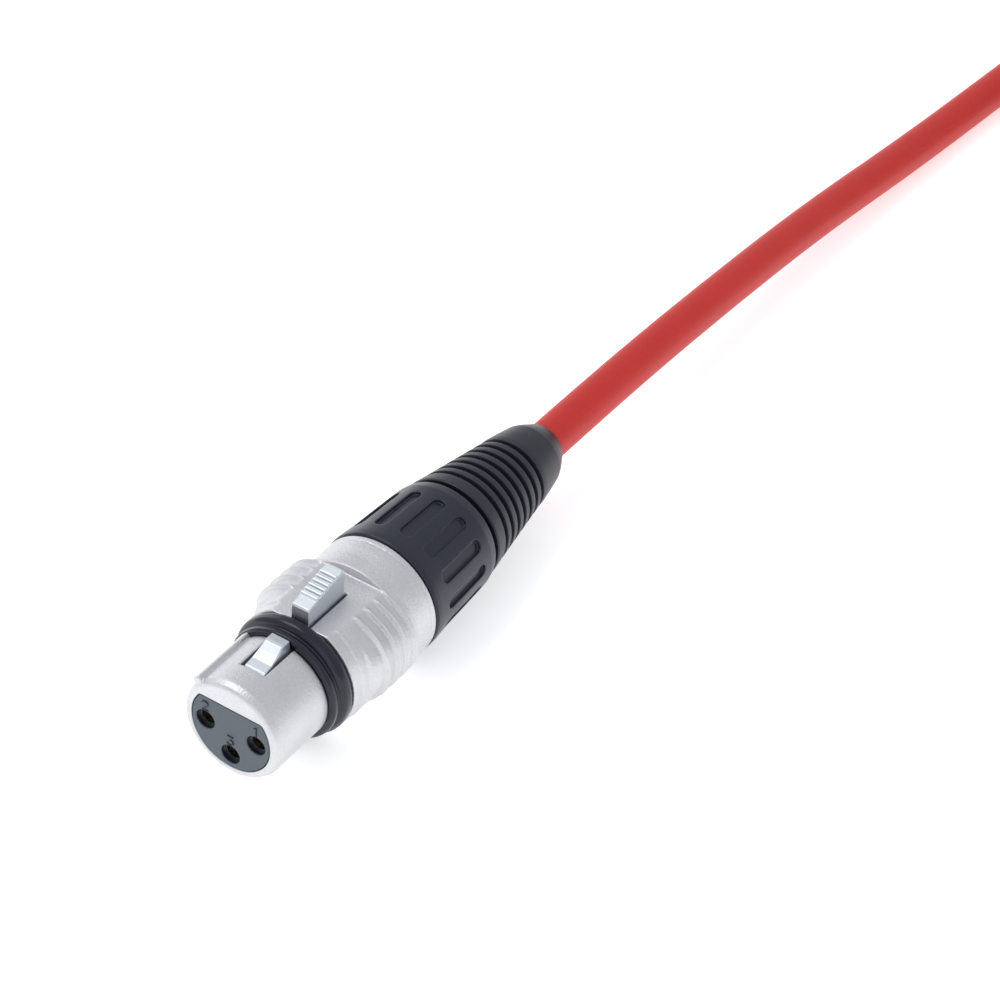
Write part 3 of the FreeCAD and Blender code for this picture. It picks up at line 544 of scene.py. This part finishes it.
def numeral(number):
    """A raised numeral above its contact's hole, readable from the front."""
    side, height = CONTACTS[number]
    line = bpy.data.curves.new("numeral_%d" % number, "CURVE")
    line.dimensions = "3D"
    line.bevel_depth = STROKE_RADIUS * MM
    line.bevel_resolution = 3
    for stroke in NUMERALS[number]:
        spline = line.splines.new("POLY")
        spline.points.add(len(stroke) - 1)
        for point, (across, up) in zip(spline.points, stroke):
            place = FEMALE + (NUMERAL_FRONT, side - across, height + NUMERAL_LIFT + up)
            point.co = (*(place * MM), 1)
    made = bpy.data.objects.new("numeral_%d" % number, line)
    bpy.context.scene.collection.objects.link(made)
    return made


# ---------------------------------------------------------------- cable
RUN_ROUTE = [
    (0.03825, 0, 0.00995), (0.060, -0.0001, 0.0097), (0.088, -0.0006, 0.0086), (0.120, -0.0009, 0.0061),
    (0.154, -0.0028, 0.0034), (0.180, -0.0050, 0.00325), (0.207, -0.0072, 0.00325),
    (0.236, -0.0060, 0.00325), (0.264, 0.0010, 0.00325), (0.280, 0.00695, 0.00325),
    (0.296, 0.00515, 0.00325)]
TAIL_ROUTE = [
    (0.306, -0.03985, 0.0096), (0.295, -0.04385, 0.00995), (0.284, -0.04445, 0.00995),
    (0.273, -0.04145, 0.00995), (0.262, -0.03785, 0.00995), (0.251, -0.0364, 0.00995),
    (0.244, -0.0364, 0.00995)]
# The hank: half turns of a waist crossing and a fold each, all in metres.
HANK_CENTRE, HALF_SPAN, HALF_TURNS = (0.332, -0.01825), 0.044, 15
INNER_WAIST, OUTER_WAIST = 0.0042, 0.0107
INNER_FOLD, OUTER_FOLD = 0.0195, 0.026
FIRST_HEIGHT, LAST_HEIGHT, PITCH = 0.00325, 0.00995, 0.00655
FOLD_ANGLES = (110, 66, 22, -22, -66, -110)
WAIST_LENGTH, WAIST_LIFT, LIFT_SPREAD = 0.009, 0.00095, 0.022
TIE_WIDTH, TIE_THICKNESS, TIE_HALF, TIE_TOP = 0.016, 0.0009, 0.01405, 0.03625
# The tie's own rounding, lap, taper and start round its loop, in millimetres and as a share.
TIE_CORNER, TIE_LAP, TIE_TAPER, TIE_START = 3.4, 24.0, 3.0, 0.36


def eased(share):
    """0 to 1 with a soft start and end."""
    share = min(max(share, 0), 1)
    return share * share * (3 - 2 * share)


def hank_route():
    """Folded turns that climb in the inner lane and come down again in the outer one."""
    spacing = len(FOLD_ANGLES) + 2
    top = (HALF_TURNS / 2 + 0.25 + (LAST_HEIGHT - FIRST_HEIGHT) / PITCH) / 2
    outside = 1 / math.cos(math.radians(FOLD_ANGLES[0] - FOLD_ANGLES[1]) / 2)
    points = []
    for half in range(HALF_TURNS + 1):
        far = 1 if half % 2 == 0 else -1
        for step in range(spacing if half < HALF_TURNS else 2):
            turns = (half * spacing + step) / (2 * spacing)
            lane = eased((turns - top) / 0.5 + 0.5)
            height = FIRST_HEIGHT + PITCH * (turns if turns < top else 2 * top - turns)
            if step < 2:
                x = far * (-WAIST_LENGTH, WAIST_LENGTH)[step]
                y = far * (INNER_WAIST + (OUTER_WAIST - INNER_WAIST) * lane)
                height += WAIST_LIFT * math.exp(-(x / LIFT_SPREAD) ** 2)
            else:
                angle = math.radians(FOLD_ANGLES[step - 2])
                radius = outside * (INNER_FOLD + (OUTER_FOLD - INNER_FOLD) * lane)
                x = far * (HALF_SPAN + radius * math.cos(angle))
                y = far * radius * math.sin(angle)
            points.append((HANK_CENTRE[0] + x, HANK_CENTRE[1] + y, height))
    return points


def cable():
    """The whole free cord as one smooth line."""
    route = RUN_ROUTE + hank_route() + TAIL_ROUTE
    line = bpy.data.curves.new("cable", "CURVE")
    line.dimensions = "3D"
    line.bevel_depth = CABLE_RADIUS * MM
    line.bevel_resolution = 6
    spline = line.splines.new("NURBS")
    spline.points.add(len(route) - 1)
    for point, place in zip(spline.points, route):
        point.co = (*place, 1)
    spline.order_u = 3
    spline.use_endpoint_u = True
    spline.resolution_u = 6
    line.use_fill_caps = True
    made = bpy.data.objects.new("cable", line)
    bpy.context.scene.collection.objects.link(made)
    return made


def hank_tie():
    """A strap of hook-and-loop tape wound once round the waist, its end lapped over its start."""
    half, top = (TIE_HALF + TIE_THICKNESS / 2) / MM, (TIE_TOP + TIE_THICKNESS / 2) / MM
    thickness = TIE_THICKNESS / MM
    bottom = thickness / 2
    loop = np.array(filleted([(-half, bottom), (-half, top), (half, top), (half, bottom)], TIE_CORNER, 10))
    closed = np.vstack([loop, loop[:1]])
    lengths = np.r_[0, np.cumsum(np.linalg.norm(np.diff(closed, axis=0), axis=1))]
    around, steps = lengths[-1], 150
    middle = loop.mean(axis=0)
    start = TIE_START * around
    rows = []
    for i in range(steps + 1):
        gone = (around + TIE_LAP) * i / steps
        at = [np.interp((start + gone) % around, lengths, closed[:, k]) for k in range(2)]
        nearby = [np.interp((start + gone + 0.3) % around, lengths, closed[:, k]) for k in range(2)]
        ahead = np.subtract(nearby, at)
        ahead /= np.linalg.norm(ahead)
        out = np.array([-ahead[1], ahead[0]])
        if out @ (at - middle) < 0:
            out = -out
        lift = thickness * min(max((gone - around + 4) / 4, 0), 1)
        end = min(gone, around + TIE_LAP - gone)
        half_width = TIE_WIDTH / MM / 2 * (0.8 + 0.2 * math.sqrt(min(end, TIE_TAPER) / TIE_TAPER))
        for level, side in ((-0.5, -1), (-0.5, 1), (0.5, 1), (0.5, -1)):
            place = np.add(at, out * (lift + level * thickness * 0.92))
            rows.append((place[0], side * half_width, place[1]))
    faces = [(0, 1, 2, 3), tuple(4 * steps + k for k in (3, 2, 1, 0))]
    for i in range(steps):
        for k in range(4):
            n = (k + 1) % 4
            faces.append((4 * i + k, 4 * i + 4 + k, 4 * i + 4 + n, 4 * i + n))
    rows = [(HANK_CENTRE[0] / MM + along, HANK_CENTRE[1] / MM + side, up) for side, along, up in rows]
    made = mesh_object("hank_strap", rows, faces)
    made.modifiers.new("edges", "BEVEL").width = 0.00015
    return made


# ---------------------------------------------------------------- putting the pieces together
def leaf_spring():
    """The latch's return spring, which the button presses flatter in the real part; here it is a plain copy
    of its CAD mesh.
    """
    mesh = bpy.data.objects["latch_spring"].data.copy()
    mesh.materials.clear()
    made = bpy.data.objects.new("leaf_spring", mesh)
    bpy.context.scene.collection.objects.link(made)
    return made


def finish_piece(made, slot, body="root", replaced=(), look=None):
    """Gives a piece its material and its body, and hides the CAD nodes that it stands for."""
    made.data.materials.append(MATERIALS[look or slot])
    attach(made, body)
    if replaced:
        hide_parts(*replaced)
    return made


def skinned(name, distance, zero, low, high, cell):
    """A connector's piece from its distance function, put in its place in the row's frame."""
    made = skin(name, distance, low, high, cell)
    made.data.transform(Matrix.Translation(Vector(zero * MM)))
    return made


make_camera()

AROUND = 11.6
finish_piece(
    skinned("female_shell_casting", female_shell, FEMALE, (0, -AROUND, -10), (BARREL_END, AROUND, 10), 0.16),
    "nickel_shell", "root", ["female_shell"])
finish_piece(skinned("latch_button", latch_lever, FEMALE, (5, -2.4, 5.5), (26.2, 2.4, 13.5), 0.075),
             "nickel_latch", "latch", ["latch_lever"])
socket_block = finish_piece(
    skinned("socket_block", socket_insert, FEMALE, (0, -6.6, -6.6), (SOLDER_START, 6.6, 4.2), 0.14),
    "grey_plastic", "root", ["socket_insert"])
# The faces inside the contact holes take the black plastic: painted shade for the dark depth of the holes,
# whose walls are really the insert's own grey.
socket_block.data.materials.append(MATERIALS["black_plastic"])
for face in socket_block.data.polygons:
    x, y, z = np.array(face.center) / MM - FEMALE
    if x > 0.14 and min(math.hypot(y - a, z - b) for a, b in CONTACTS.values()) < HOLE_RADIUS + 0.05:
        face.material_index = 1
for each in CONTACTS:
    finish_piece(numeral(each), "grey_plastic", look="black_plastic")
finish_piece(lathe("rubber_ring", RING_OUTLINE, FEMALE, 0.3), "black_rubber", "root", ["nose_ring"],
             "ring_rubber")

on_male_end = [finish_piece(
    skinned("male_shell_casting", male_shell, MALE, (0, -AROUND, -10), (BARREL_END, AROUND, 10), 0.2),
    "nickel_shell", "root", ["male_shell"])]
for end, zero in (("female", FEMALE), ("male", MALE)):
    nut = finish_piece(
        skinned(end + "_grip_nut", clamp_nut, zero, (NUT_START, -10, -10), (NUT_END, 10, 10), 0.17),
        "black_plastic", end + "_nut_body", [end + "_clamp_nut"])
    boot = finish_piece(lathe(end + "_strain_relief", boot_outline(), zero), "black_rubber",
                        end + "_boot_body", [end + "_boot"])
    if end == "male":
        on_male_end += [nut, boot]

spring = finish_piece(leaf_spring(), "spring_steel", "root", ["latch_spring"])
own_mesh(spring)
tie = finish_piece(hank_tie(), "hook_and_loop", "root", ["hank_tie"])
flex = finish_piece(cable(), "red_jacket", "root", ["cable_run", "cable_hank", "cable_tail"])

for part in frame["record"]["subparts"]:
    thing = frame["nodes"][part["node"]]
    if not thing.hide_render:
        thing.data.materials.clear()
        thing.data.materials.append(MATERIALS[part["material_slot"]])


# ---------------------------------------------------------------- floor and light
FLOOR_HALF = 3.0


def make_floor():
    """A plain pale floor with a little light of its own."""
    edge = FLOOR_HALF / MM
    corners = [(-edge, -edge, 0), (edge, -edge, 0), (edge, edge, 0), (-edge, edge, 0)]
    floor = mesh_object("floor", corners, [(0, 1, 2, 3)])
    pale = bpy.data.materials.new("pale_floor")
    pale.use_nodes = True
    shader = pale.node_tree.nodes["Principled BSDF"]
    shader.inputs["Base Color"].default_value = (0.95, 0.95, 0.95, 1)
    shader.inputs["Roughness"].default_value = 0.8
    shader.inputs["Specular IOR Level"].default_value = 0.1
    shader.inputs["Emission Color"].default_value = (1, 1, 1, 1)
    shader.inputs["Emission Strength"].default_value = 0.5
    floor.data.materials.append(pale)


def make_light(name, place, size, power):
    """A soft square lamp that faces the connector."""
    lamp = bpy.data.lights.new(name, "AREA")
    lamp.size = size
    lamp.energy = power
    made = bpy.data.objects.new(name, lamp)
    made.location = place
    made.rotation_euler = Vector(place).to_track_quat("Z", "Y").to_euler()
    bpy.context.scene.collection.objects.link(made)


def make_surroundings():
    """An even, pale studio all round."""
    world = bpy.data.worlds.new("studio")
    bpy.context.scene.world = world
    world.use_nodes = True
    world.node_tree.nodes["Background"].inputs["Color"].default_value = (0.93, 0.95, 1.0, 1)
    world.node_tree.nodes["Background"].inputs["Strength"].default_value = 0.7
    bpy.context.scene.view_settings.view_transform = "Standard"


make_floor()
make_light("key", (-0.15, 0.45, 0.9), 0.6, 2.5)
make_light("side", (0.35, 0.85, 0.3), 0.5, 0.6)
make_light("fill", (-0.9, -0.5, 0.5), 0.7, 0.6)
make_surroundings()
